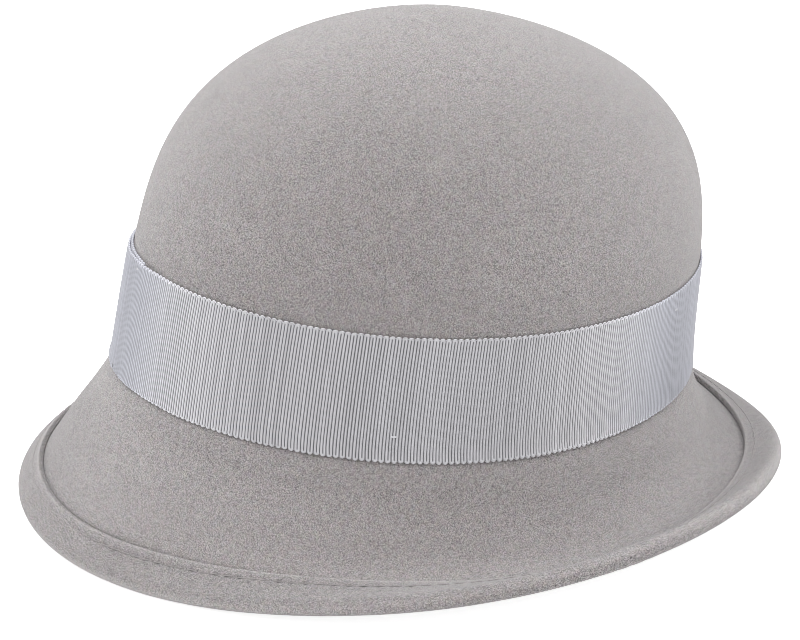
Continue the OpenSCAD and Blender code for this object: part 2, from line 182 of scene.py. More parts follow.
def section(line, share, lift, radius=0, swing=0):
    """Point at a share of the brim line, lifted along its upward normal, then moved
    by a radius at an angle from the outward direction."""
    arc = pi * share
    swell = (line.bow * np.sin(arc) + line.skew * np.sin(2 * arc)
             + line.ripple * np.sin(3 * arc))
    slope = pi * (line.bow * np.cos(arc) + 2 * line.skew * np.cos(2 * arc)
                  + 3 * line.ripple * np.cos(3 * arc))
    out = line.run * share + swell * line.fall / line.length
    z = -line.fall * share + swell * line.run / line.length
    step_out = line.run + slope * line.fall / line.length
    step_z = -line.fall + slope * line.run / line.length
    step = np.hypot(step_out, step_z)
    step_out, step_z = step_out / step, step_z / step
    lift = lift + soft_brim(line.turn, share)
    cos, sin = np.cos(swing), np.sin(swing)
    out = out - lift * step_z + radius * (cos * step_out - sin * step_z)
    z = z + lift * step_out + radius * (cos * step_z + sin * step_out)
    return np.concatenate([line.base + line.heading * out[..., None], z[..., None]], -1)


def rim(line, inset, lift):
    """Point at a distance in from the end of the brim line."""
    return section(line, 1 - inset / line.length, lift)


def fold(line, radius, swing):
    """Point about the centre of the rolled rim."""
    return section(line, 1 - FOLD_R / line.length, FOLD_LIFT, radius, swing)


def hem_top(line, inset):
    return HEM_H + HEM_RISE * np.clip((line.hem - inset) / (line.hem - FOLD_R), 0, 1)


def skin(turn, z, out):
    """Point off the felt's outer face: height z on the crown or -z down the brim,
    with the break between them eased."""
    def part(z):
        line = station(turn)
        up = wall(turn, np.maximum(z, 0), out)
        share = np.clip(-z, 0, None) / line.length
        down = section(line, share, out - soft_brim(turn, share))
        return np.where((z >= 0)[..., None], up, down)
    z = np.asarray(z, float) + 0 * turn
    ease = 2.6 * smooth((14 - np.abs(z)) / 8)
    return .25 * part(z - ease) + .5 * part(z) + .25 * part(z + ease)


def band_top(turn):
    return waves(turn, 39.4, (-1.17, 2.1), (.54, -.37))


def band_low(turn):
    return band_top(turn) - BAND_W - np.cos(turn + pi / 3)


def table_tilt():
    """Rotation that levels the plane through three points of the fold."""
    line = station(np.radians([15., -86., 173.]))
    share = 1 - FOLD_R / line.length
    feet = section(line, share, FOLD_LIFT - soft_brim(line.turn, share))
    normal = unit(np.cross(feet[1] - feet[0], feet[2] - feet[0]))
    if normal[2] < 0:
        normal = -normal
    back = unit(np.array([0, 1, 0]) - normal * normal[1])
    return np.array([np.cross(back, normal), back, normal])


TILT = table_tilt()


def to_frame(points):
    """Hat axes in millimetres to the frame in metres."""
    return (np.asarray(points, float) @ TILT.T + HAT_MOVE) * 1e-3


# ----------------------------------------------------------------- meshes ---
# A solid is a tuple of points, faces and point attributes.
def make(name, solid, slot):
    points, faces, attrs = solid
    mesh = bpy.data.meshes.new(name)
    mesh.from_pydata(to_frame(points).tolist(), [], [list(map(int, f)) for f in faces])
    mesh.polygons.foreach_set("use_smooth", np.ones(len(mesh.polygons), bool))
    for key, values in attrs.items():
        attr = mesh.attributes.new(key, "FLOAT", "POINT")
        attr.data.foreach_set("value", np.asarray(values, np.float32))
    mesh.materials.append(MATERIALS[slot])
    mesh.update()
    obj = bpy.data.objects.new(name, mesh)
    bpy.context.scene.collection.objects.link(obj)
    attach(obj, "root")
    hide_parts(name)


def quads(rows, cols, closed_rows, closed_cols):
    """Faces of a grid of points, closed on itself either way if asked."""
    row, col = np.meshgrid(np.arange(rows if closed_rows else rows - 1),
                           np.arange(cols if closed_cols else cols - 1), indexing="ij")
    row_on, col_on = (row + 1) % rows, (col + 1) % cols
    return np.stack([row * cols + col, row * cols + col_on,
                     row_on * cols + col_on, row_on * cols + col], -1).reshape(-1, 4)


def faced_out(points, faces):
    """The faces of a closed mesh, turned over if their volume comes out negative."""
    fan = np.array([[f[0], f[k], f[k + 1]] for f in faces for k in range(1, len(f) - 1)])
    first, second, third = (points[fan[:, k]] for k in range(3))
    if np.einsum("ij,ij->i", first, np.cross(second, third)).sum() > 0:
        return faces
    return [f[::-1] for f in faces]


def tube(rings):
    """Points and faces of a capped tube from rings shaped (count, sides, 3)."""
    count, sides = rings.shape[:2]
    points = rings.reshape(-1, 3)
    caps = [list(range(sides))[::-1], list(range((count - 1) * sides, count * sides))]
    return points, faced_out(points, quads(count, sides, False, True).tolist() + caps)


def join(solids):
    all_points, all_faces, all_attrs, count = [], [], {}, 0
    for points, faces, attrs in solids:
        all_points.append(points)
        all_faces += [[i + count for i in f] for f in faces]
        for key, values in attrs.items():
            all_attrs.setdefault(key, []).append(values)
        count += len(points)
    return (np.concatenate(all_points), all_faces,
            {key: np.concatenate(values) for key, values in all_attrs.items()})


def path_length(path):
    return np.r_[0, np.cumsum(np.linalg.norm(np.diff(path, axis=0), axis=1))]


def thread(path, up, radius, sides=8, flat=1.0):
    """A thread with rounded ends along a path; flat squeezes it along up."""
    ahead = unit(np.gradient(path, axis=0))
    side = unit(np.cross(ahead, up))
    top = np.cross(side, ahead)
    place = np.abs(2 * np.linspace(0, 1, len(path)) - 1)
    swell = radius * np.sqrt(np.clip(1 - np.clip(place, 0, 1) ** 14, .02, 1))
    swing = ring_turns(sides)
    rings = path[:, None] + swell[:, None, None] * (
        np.cos(swing)[None, :, None] * side[:, None]
        + flat * np.sin(swing)[None, :, None] * top[:, None])
    return *tube(rings), dict(along=np.repeat(path_length(path), sides),
                              around=np.tile(np.arange(sides) / sides, len(path)))


def stitch(surface, lift, radius, flat):
    """A thread on a surface, given as a function of the lift off it."""
    path = surface(lift)
    return thread(path, surface(lift + 1) - path, radius, flat=flat)


# ------------------------------------------------------------ shader nodes ---
class Mat:
    """A Principled material; any operand is a number, a colour or a socket."""

    def __init__(self, name, roughness):
        self.material = bpy.data.materials.new(name)
        self.material.use_nodes = True
        self.tree = self.material.node_tree
        self.surface = self.tree.nodes["Principled BSDF"]
        self.set({"Roughness": roughness})
        coords = self.node("TexCoord")
        self.place = self.vec("SCALE", coords.outputs["Object"], scale=1000.0)  # in mm

    def node(self, kind):
        return self.tree.nodes.new("ShaderNode" + kind)

    def feed(self, node, key, value):
        if value is None:
            return
        socket = node.inputs[key]
        if hasattr(value, "links"):
            self.tree.links.new(value, socket)
        elif isinstance(value, tuple) and len(value) == 3 and socket.type == "RGBA":
            socket.default_value = (*value, 1)
        else:
            socket.default_value = value

    def set(self, values):
        for key, value in values.items():
            self.feed(self.surface, key, value)

    def math(self, operation, *operands, clamp=False):
        node = self.node("Math")
        node.operation = operation
        node.use_clamp = clamp
        for i, value in enumerate(operands):
            self.feed(node, i, value)
        return node.outputs[0]

    def weigh(self, value, by, plus):
        return self.math("MULTIPLY_ADD", value, by, plus)

    def times(self, value, factor):
        return self.math("MULTIPLY", value, factor)

    def vec(self, operation, first, second=None, scale=None):
        node = self.node("VectorMath")
        node.operation = operation
        self.feed(node, 0, first)
        self.feed(node, 1, second)
        self.feed(node, 3, scale)
        return node.outputs[0]

    def dim(self, colour, factor):
        return self.vec("SCALE", colour, scale=factor)

    def noise(self, place, scale, detail=2.0, rough=.5, distort=0.0, output="Fac"):
        node = self.node("TexNoise")
        self.feed(node, "Vector", place)
        node.inputs["Scale"].default_value = scale
        node.inputs["Detail"].default_value = detail
        node.inputs["Roughness"].default_value = rough
        node.inputs["Distortion"].default_value = distort
        return node.outputs[output]

    def turned(self, place, rotation, scale):
        node = self.node("Mapping")
        self.feed(node, "Vector", place)
        node.inputs["Rotation"].default_value = rotation
        node.inputs["Scale"].default_value = scale
        return node.outputs[0]

    def attr(self, name):
        node = self.node("Attribute")
        node.attribute_name = name
        return node.outputs["Fac"]

    def mix(self, factor, first, second):
        node = self.node("Mix")
        node.data_type = "RGBA"
        self.feed(node, 0, factor)
        self.feed(node, 6, first)
        self.feed(node, 7, second)
        return node.outputs[2]

    def plain(self, colour):
        """One constant colour as a socket."""
        return self.mix(0.0, colour, colour)

    def remap(self, value, source, to, eased=False):
        node = self.node("MapRange")
        if eased:
            node.interpolation_type = "SMOOTHSTEP"
        for i, operand in enumerate((value, *source, *to)):
            self.feed(node, i, operand)
        return node.outputs[0]

    def signed(self, value, low=.3, high=.7):
        return self.remap(value, (low, high), to=(-1.0, 1.0))

    def facing(self):
        node = self.node("LayerWeight")
        node.inputs["Blend"].default_value = .5
        return node.outputs["Facing"]

    def turned_away(self):
        """How far the ribbon as a whole, not the single cord, is turned from the eye:
        0 square on, 1 edge on."""
        normal = self.node("CombineXYZ")
        for i, key in enumerate(("nx", "ny", "nz")):
            self.feed(normal, i, self.attr(key))
        dot = self.node("VectorMath")
        dot.operation = "DOT_PRODUCT"
        self.feed(dot, 0, normal.outputs[0])
        self.feed(dot, 1, self.node("NewGeometry").outputs["Incoming"])
        level = self.math("ABSOLUTE", dot.outputs["Value"])
        return self.math("SUBTRACT", 1.0, level, clamp=True)

    def bump(self, height, strength, distance):
        node = self.node("Bump")
        node.inputs["Strength"].default_value = strength
        node.inputs["Distance"].default_value = distance
        self.feed(node, "Height", height)
        return node.outputs[0]


# -------------------------------------------------------------- materials ---
def felt_material(name, face, graze):
    """Wool felt: short fibre ends speckle a matted, slightly cloudy ground.
    Its colour goes from face, seen square on, to graze, seen edge on."""
    mat = Mat(name, roughness=.95)
    place = mat.place
    speck = mat.signed(mat.noise(place, scale=2.6, detail=.0), .31, .69)
    shifted = mat.vec("ADD", place, (31.0, 7.0, 13.0))
    fine = mat.signed(mat.noise(shifted, scale=4.3, detail=.0), .30, .70)
    # fibres lying three ways: noise squeezed along one axis each, then turned
    lying = [mat.noise(mat.turned(place, rotation, squeeze), scale=1.0, detail=1.0, distort=.6)
             for rotation, squeeze in (((.4, .9, .3), (3.4, .65, .65)),
                                       ((1.3, .2, 1.2), (.65, 3.4, .65)),
                                       ((2.2, 1.6, .5), (.65, .65, 3.4)))]
    light, dark = (mat.math(pick, mat.math(pick, lying[0], lying[1]), lying[2])
                   for pick in ("MAXIMUM", "MINIMUM"))
    fibre = mat.math("ADD", mat.remap(light, (.52, .72), to=(0.0, 1.0)),
                     mat.remap(dark, (.28, .48), to=(-1.0, 0.0)))
    slow = mat.signed(mat.noise(place, scale=.10))
    shifted = mat.vec("ADD", place, (5.0, 40.0, 21.0))
    clump = mat.signed(mat.noise(shifted, scale=.75, detail=1.0))
    facing = mat.facing()
    # the speckle shows most where the nap is seen end on
    amount = mat.remap(facing, (.15, .95), to=(.98, .82))
    shade = mat.times(speck, .33)
    shade = mat.weigh(fine, by=.40, plus=shade)
    shade = mat.weigh(fibre, by=.13, plus=shade)
    shade = mat.weigh(shade, by=amount, plus=1.0)
    shade = mat.weigh(clump, by=.040, plus=shade)
    shade = mat.weigh(slow, by=.018, plus=shade)
    # painted light: a painted highlight along the hem's cut edge and the fold's outer line,
    # painted shade on the hem's upper face and under the fold
    shade = mat.weigh(mat.attr("edge"), by=.14, plus=shade)
    # painted sheen on the brim, turned round: paler seen square on, duller seen edge on
    brim_sheen = mat.remap(facing, (.28, .76), to=(.125, -.135), eased=True)
    shade = mat.weigh(mat.attr("brim"), by=brim_sheen, plus=shade)
    # painted shade: darkens the felt in the hem's gaps and stitch grooves, along the ribbon's
    # edges and on the lower crown
    shade = mat.times(shade, mat.remap(mat.attr("painted_shade"), (0.0, 1.0), to=(1.0, .52)))
    # painted sheen of the nap: the felt's colour turns paler as it is seen more edge on
    colour = mat.mix(mat.math("POWER", facing, .85), face, graze)
    # a trace of coloured noise about mid grey; the doubling makes up for the grey
    tint = mat.mix(.07, (.5, .5, .5), mat.noise(place, scale=.55, detail=1.0, output="Color"))
    colour = mat.vec("MULTIPLY", mat.dim(colour, 2.0), tint)
    height = mat.math("ADD", mat.times(speck, .6), mat.times(fibre, .6))
    mat.set({"Base Color": mat.dim(colour, shade), "Specular IOR Level": .10,
             "Sheen Weight": .22, "Sheen Roughness": .55, "Sheen Tint": (.97, .95, .97),
             "Normal": mat.bump(height, strength=.45, distance=.00016)})
    return mat.material


def grosgrain_material(name, ridge, groove, warp, whole):
    """Corded ribbon: fine warp yarns, warp mm a pair, cross the cords. With whole,
    the mesh gives the normal of the ribbon as a whole."""
    mat = Mat(name, roughness=.46)
    rib = mat.attr("rib")
    # the warp swaps over from one cord to the next
    swap = mat.times(mat.math("FLOOR", mat.attr("along")), pi)
    weave = mat.math("SINE", mat.weigh(mat.attr("across"), by=TAU / warp, plus=swap))
    yarn = mat.signed(mat.noise(mat.place, scale=1.7, rough=.6))
    stretched = mat.vec("MULTIPLY", mat.place, (.9, .9, .08))
    cord = mat.signed(mat.noise(stretched, scale=1.0, rough=.6))
    profile = mat.remap(rib, (.28, 1.0), to=(0.0, 1.0), eased=True)
    facing = mat.facing()
    away = mat.turned_away() if whole else facing
    far = mat.remap(away, (.36, .68), to=(0.0, 1.0), eased=True)
    # edge on the cords close up and the ribbon looks smooth; the painted groove shade fades
    # and a painted bluish sheen comes in
    flatter = mat.weigh(far, by=-.65, plus=1.0)
    profile = mat.math("ADD", mat.times(profile, flatter), mat.times(far, .55))
    lit = mat.mix(far, ridge, (ridge[0] * .972, ridge[1] * .995, ridge[2] * 1.055))
    # painted shade in the grooves between the cords, darker as they are seen more obliquely
    deep = mat.dim(mat.plain(groove), mat.remap(facing, (.15, .55), to=(1.0, .38), eased=True))
    # painted shade: the colour darkens from the ridges down into the grooves
    colour = mat.mix(profile, deep, lit)
    # painted sheen: the smooth cords are painted paler where they turn away, and darker again
    # at the very edge
    shade = mat.times(mat.remap(facing, (.18, .50), to=(.98, 1.62), eased=True),
                      mat.remap(facing, (.62, .95), to=(1.0, .46), eased=True))
    # painted sheen of the ribbon as a whole as it turns away, giving way to painted shade seen
    # nearly edge on
    overall = mat.times(mat.remap(away, (.15, .33), to=(.93, 1.12), eased=True),
                        mat.remap(away, (.44, .80), to=(1.0, .70), eased=True))
    shade = mat.times(shade, overall)
    shade = mat.times(shade, mat.weigh(mat.attr("selv"), by=.62, plus=1.0))
    shade = mat.weigh(weave, by=.035, plus=shade)
    shade = mat.weigh(yarn, by=.05, plus=shade)
    shade = mat.weigh(cord, by=.05, plus=shade)
    height = mat.weigh(yarn, by=.3, plus=weave)
    mat.set({"Base Color": mat.dim(colour, shade), "Specular IOR Level": .42,
             "Sheen Weight": .10, "Sheen Roughness": .4,
             "Roughness": mat.remap(yarn, (-1.0, 1.0), to=(.42, .56)),
             "Normal": mat.bump(height, strength=.25, distance=.00005)})
    return mat.material


def thread_material(name, base, rough, twist, bump=.6, graze=None):
    """Spun thread: slanted ply lines every twist mm, small lightness changes."""
    mat = Mat(name, roughness=rough)
    slant = mat.times(mat.attr("around"), TAU)
    ply = mat.math("SINE", mat.weigh(mat.attr("along"), by=TAU / twist, plus=slant))
    grain = mat.signed(mat.noise(mat.place, scale=3.0, rough=.6))
    shade = mat.weigh(ply, by=.12, plus=1.0)
    shade = mat.weigh(grain, by=.10, plus=shade)
    # painted sheen where graze is given: paler seen edge on
    colour = mat.mix(mat.facing(), base, graze or base)
    mat.set({"Base Color": mat.dim(colour, shade), "Sheen Weight": .2,
             "Specular IOR Level": .3 if graze is None else .12,
             "Normal": mat.bump(ply, strength=bump, distance=.00004)})
    return mat.material


def satin_material(name, base):
    """Smooth woven satin for the blank labels, darker along its edges."""
    pitch, pitch_ratio = .22, 2.1       # weave along the label, and how much wider across
    mat = Mat(name, roughness=.38)
    along = mat.math("SINE", mat.times(mat.attr("along"), TAU / pitch))
    across = mat.math("SINE", mat.times(mat.attr("across"), TAU / (pitch * pitch_ratio)))
    weave = mat.times(along, across)
    grain = mat.signed(mat.noise(mat.place, scale=1.2, detail=3.0, rough=.6))
    shade = mat.weigh(weave, by=.06, plus=1.0)
    shade = mat.weigh(grain, by=.06, plus=shade)
    shade = mat.times(shade, mat.remap(mat.attr("edge"), (0.0, 1.0), to=(1.0, .75)))
    mat.set({"Base Color": mat.dim(mat.plain(base), shade), "Specular IOR Level": .5,
             "Sheen Weight": .15, "Anisotropic": .5,
             "Normal": mat.bump(weave, strength=.3, distance=.00004)})
    return mat.material


def steel_material(name, base):
    mat = Mat(name, roughness=.34)
    stretched = mat.vec("MULTIPLY", mat.place, (.5, .5, 6.0))
    streak = mat.signed(mat.noise(stretched, scale=1.5, detail=3.0, rough=.6))
    mat.set({"Metallic": 1.0,
             "Base Color": mat.dim(mat.plain(base), mat.weigh(streak, by=.08, plus=1.0)),
             "Roughness": mat.remap(streak, (-1.0, 1.0), to=(.26, .44)),
             "Normal": mat.bump(streak, strength=.2, distance=.00002)})
    return mat.material


RECIPES = {
    # felt: face and graze carry a painted sheen, paler seen edge on
    "felt": (felt_material, dict(face=(.240, .2235, .2225), graze=(.418, .399, .398))),
    # ribbon and sweat_ribbon: the groove colour is painted shade between the cords
    "ribbon": (grosgrain_material, dict(ridge=(.478, .473, .495), groove=(.092, .091, .098),
                                        warp=.26, whole=True)),
    "sweat_ribbon": (grosgrain_material, dict(ridge=(.42, .41, .42), groove=(.12, .117, .12),
                                              warp=.3, whole=False)),
    # hem_thread: graze is a painted sheen, as on the felt
    "hem_thread": (thread_material, dict(base=(.27, .252, .250), rough=.8, twist=.45,
                                         graze=(.42, .40, .398))),
    "tack_thread": (thread_material, dict(base=(.56, .56, .585), rough=.55, twist=.4)),
    "sweat_thread": (thread_material, dict(base=(.25, .24, .24), rough=.6, twist=.45)),
    "cord": (thread_material, dict(base=(.60, .585, .56), rough=.55, twist=1.6, bump=.3)),
    "wire_cover": (thread_material, dict(base=(.74, .73, .70), rough=.6, twist=.7, bump=.8)),
    "steel": (steel_material, dict(base=(.56, .57, .58))),
    "label_dark": (satin_material, dict(base=(.045, .043, .047))),
    "label_light": (satin_material, dict(base=(.80, .79, .77))),
}
MATERIALS = {slot: recipe(slot, **settings) for slot, (recipe, settings) in RECIPES.items()}

# ------------------------------------------------------------------- felt ---
# Rings of three finenesses, each a whole number of points to a stitch
PER_STITCH = 6
COARSE, MEDIUM, FINE = (ring_turns(k * STITCHES) for k in (2, 4, PER_STITCH))

# Distance past the ribbon's edge, how far the felt is pressed in there and how dark its
# painted shadow (0 to 1)
ABOVE_BAND = ((3.2, 0), (1.9, .02), (1.1, .10), (.62, .38), (.30, .85), (.02, 1.0),
              (-.4, .9), (-2, .3), (-7, 0), (-14, 0))
BELOW_BAND = ((16, 0), (11, 0), (7.5, 0), (5, 0), (3, .2), (1.4, .6), (.4, .9),
              (-.02, 1.0), (-.30, .85), (-.62, .38), (-1.1, .10), (-1.9, .02),
              (-3, 0), (-4.4, 0))
# Distance from the hem's cut edge, height (None: on the hem), painted shade, edge light
# (painted highlight above 0, painted shade below 0)
HEM_ROWS = (
    (-.60, .16, .5, 0), (-.22, .06, .5, 0), (-.05, .16, .5, 0), (.01, .50, .5, 0),
    (.01, .98, .5, 0), (.00, 1.36, .5, 0), (-.09, 1.70, .45, 0), (-.30, 1.93, .1, 1.0),
    (-.64, 2.06, 0, 1.15), (-1.18, None, 0, .1), (-1.9, None, 0, -.35),
    (-2.6, None, 0, -.4), (-3.05, None, 0, -.4), (-3.28, None, 0, -.4),
    (-3.5, None, 0, -.4), (-3.72, None, 0, -.4), (-3.95, None, 0, -.4),
    (-4.5, None, 0, -.5), (-5.4, None, 0, -.55), (-6.4, None, 0, -.55),
    (-7.4, None, 0, -.5))


class Rings:
    """Rings of felt points with their painted light: painted shade, edge (painted highlight
    above 0, painted shade below 0) and brim, the mask for the brim's painted sheen.
    """

    def __init__(self):
        self.rows = []

    def add(self, points, painted_shade=0.0, edge=0.0, brim=0.0):
        none = np.zeros(len(points))
        self.rows.append((points, none + painted_shade, none + edge, none + brim))

    def add_apex(self, out):
        self.add(crown(np.zeros(1), np.ones(1), out))


def crown_shares(count):
    """Heights evenly spaced along the crown's section, from z = 48 to the apex."""
    share = np.sin(pi / 2 * np.linspace(0, 1, 2001) ** 1.8) ** (2 / WALL_POWER)
    mean_radius = 90
    step = np.hypot(np.diff(mean_radius * width(share)), np.diff(CROWN_H * share))
    arc = np.r_[0, np.cumsum(step)]
    start = np.interp(48 / CROWN_H, share, arc)
    return np.interp(np.linspace(start, arc[-1], count), arc, share)


def noise_ring(count, orders, size, seed):
    """A smooth random closed curve: a sum of waves of the given orders."""
    rng = np.random.default_rng(seed)
    turn = ring_turns(count)
    return size * sum(rng.normal() * np.cos(k * turn + rng.uniform(0, TAU))
                      / math.sqrt(len(orders)) for k in orders)


def stitch_groove(inset):
    return np.exp(-((inset + STITCH_IN) / .42) ** 2)


def felt_top(rings):
    """Outer crown from the apex down, then the brim's upper face out to the hem."""
    rings.add_apex(0)
    # painted shade on the lower crown, fading upward from the ribbon
    for share in crown_shares(31)[-2::-1]:
        rings.add(crown(COARSE, share, 0), .17 * math.exp(-(share * CROWN_H - 44) / 13))
    # the ribbon is drawn tight: the felt is pressed in right along its two edges, and a
    # painted shadow lies along them
    for past, press in ABOVE_BAND:
        share = (band_top(MEDIUM) + past) / CROWN_H
        rings.add(crown(MEDIUM, share, -PRESS * press), .17 + .42 * press)
    for past, press in BELOW_BAND:
        rings.add(skin(MEDIUM, band_low(MEDIUM) + past, -PRESS * press), .60 * press)
    # halfway between the last of those rows and the next one
    rings.add(skin(MEDIUM, .5 * (band_low(MEDIUM) + BELOW_BAND[-1][0]) - .5 * BREAK_REACH, 0))
    rings.add(skin(MEDIUM, -BREAK_REACH, 0))
    line = station(MEDIUM)
    steps = 19
    first, last = BREAK_REACH / line.length, 1 - (line.hem + 1.8) / line.length
    for k in range(1, steps + 1):
        share = first + (last - first) * k / steps
        even = 1 - smooth((k - 1) / 4)
        rings.add(section(line, share, -soft_brim(MEDIUM, share) * even),
                  brim=.4 + .6 * float(smooth(k / 8)))


def felt_hem(rings):
    """The hem turned up over the brim: into its step, round the wire's tunnel, back
    out over the cut edge, round the fold and in along the stitches underneath."""
    fine, coarse = station(FINE), station(COARSE)
    count = len(FINE)
    wander = noise_ring(count, [3, 4, 5, 7, 9, 13], .16, seed=3)
    fuzz_out = noise_ring(count, list(range(60, 300, 7)), .045, seed=4)
    fuzz_up = noise_ring(count, list(range(60, 300, 7)), .035, seed=5)
    # the stitches pull the felt down, most of all at the needle holes
    phase = (np.arange(count) * STITCHES / count + 0.5) % 1.0 - .5
    hole = np.exp(-(np.abs(np.abs(phase) - .5) / .17) ** 2)
    bite = np.repeat(np.random.default_rng(6).uniform(.35, 1.5, STITCHES), PER_STITCH)
    # the seam is deep, and its painted shade dark, over two stretches of the rim and faint
    # elsewhere
    seam = .10 + .90 * np.maximum(smooth((np.cos(FINE - .58) - .80) / .12),
                                  .7 * smooth((np.cos(FINE - 4.3) - .2) / .5))
    pull = (.06 + .32 * hole * bite) * seam

    def row(past, height, painted_shade, edge, ragged, brim=0.0):
        groove = stitch_groove(past)
        inset = fine.hem + past + (wander + fuzz_out) * ragged
        if height is None:
            height = hem_top(fine, fine.hem + past)
        # painted shade in the stitch groove, darkest at the needle holes, is added to the
        # row's own
        rings.add(rim(fine, inset, height + fuzz_up * ragged - pull * groove),
                  painted_shade + 1.5 * groove * (.14 + .86 * hole * bite) * seam, edge, brim)

    # the brim runs into the hem's step, with painted shade at the join; brim sets how much of
    # the brim's painted sheen a row takes
    row(1.0, 0, .08, 0, ragged=.0, brim=1.0)
    row(.40, -.02, .34, 0, ragged=.3, brim=1.0)
    # hidden: under the hem, round the tunnel and back out, all in full painted shade
    for inset, lift in ((coarse.hem - .5, -.03), (coarse.hem * .78, -.03), (7.3, 0)):
        rings.add(rim(coarse, inset, lift), 1)
    for degrees in (-160, -125, -90, -55, -20, 20, 55, 90, 125, 160):
        rings.add(fold(coarse, TUNNEL_R, math.radians(degrees)), 1)
    for inset in (7.3, coarse.hem * .80):
        rings.add(rim(coarse, inset, .4), 1)
    # the raw cut edge and the hem's upper face, with their painted shade and painted highlight
    # from HEM_ROWS
    for past, height, painted_shade, edge in HEM_ROWS:
        row(past, height, painted_shade, edge, ragged=float(np.clip(1 + (past + .5) / 3, 0, 1)))
    # the rounded fold: a painted highlight just above its outermost line, painted shade over
    # the rest and most underneath
    for degrees in range(88, -73, -16):
        fold_highlight = 1.6 * math.exp(-((degrees - 18) / 28) ** 2)
        rings.add(fold(fine, FOLD_R, math.radians(degrees)),
                  edge=-.45 + fold_highlight - .9 * float(smooth((-15 - degrees) / 30)))
    for inset, lift in ((2.95, -2.69), (4.4, -2.66), (5.7, -2.6), (6.6, -2.6)):
        rings.add(rim(fine, inset, lift))
    # underneath: the stitch groove, with painted shade in it
    for past in (-4.3, -4.0, -3.72, -3.5, -3.28, -3.0, -2.7, -2.0):
        groove = stitch_groove(past)
        rings.add(rim(fine, fine.hem + past, -FELT_T + pull * groove),
                  .4 * groove * (.3 + .7 * hole))


def felt_lining(rings):
    """The brim's underside inward, then up the inside of the crown to the apex."""
    line = station(COARSE)
    steps = 15
    first, last = 1 - (line.hem - .6) / line.length, BREAK_REACH / line.length
    for k in range(steps + 1):
        share = first + (last - first) * k / steps
        even = 1 - smooth((steps - k) / 4)
        rings.add(section(line, share, -FELT_T - soft_brim(COARSE, share) * even))
    for z in (-8.5, -6, -4, -2, 0, 2, 4, 6, 9, 12):
        rings.add(skin(COARSE, z, -FELT_T))
    for z in (18, 26, 34, 46):
        rings.add(crown(COARSE, z / CROWN_H, -FELT_T))
    for share in crown_shares(21)[1:-1]:
        rings.add(crown(COARSE, share, -FELT_T))
    rings.add_apex(-FELT_T)


def bridge(start, count, next_start, next_count):
    """Faces between two rings."""
    if count == next_count:
        i = np.arange(count)
        j = (i + 1) % count
        return np.stack([start + i, start + j, next_start + j, next_start + i], -1).tolist()
    # different counts: walk round both, always taking the shorter step
    faces = []
    i = j = 0
    while i < count or j < next_count:
        here, there = start + i % count, next_start + j % next_count
        if j >= next_count or (i < count and (i + 1) / count <= (j + 1) / next_count):
            faces.append([here, start + (i + 1) % count, there])
            i += 1
        else:
            faces.append([here, next_start + (j + 1) % next_count, there])
            j += 1
    return faces


def build_felt():
    rings = Rings()
    felt_top(rings)
    felt_hem(rings)
    felt_lining(rings)
    points, painted_shade, edge, brim = (np.concatenate(column) for column in zip(*rings.rows))
    counts = [len(row[0]) for row in rings.rows]
    start = np.cumsum([0] + counts)
    around = counts[1]
    faces = [[0, 1 + (i + 1) % around, 1 + i] for i in range(around)]
    for k in range(1, len(counts) - 2):
        faces += bridge(start[k], counts[k], start[k + 1], counts[k + 1])
    apex, base, around = start[-2], start[-3], counts[-2]
    faces += [[apex, base + i, base + (i + 1) % around] for i in range(around)]
    return points, faced_out(points, faces), dict(painted_shade=painted_shade, edge=edge, brim=brim)


felt = build_felt()
# the frame says where the hat stands: centre the felt on its box, metres to mm
box_lo, box_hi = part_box("felt_body")
tilted = felt[0] @ TILT.T
HAT_MOVE = np.array([(box_lo[k] + box_hi[k]) * 500
                     - (tilted[:, k].min() + tilted[:, k].max()) / 2 for k in range(3)])
make("felt_body", felt, "felt")


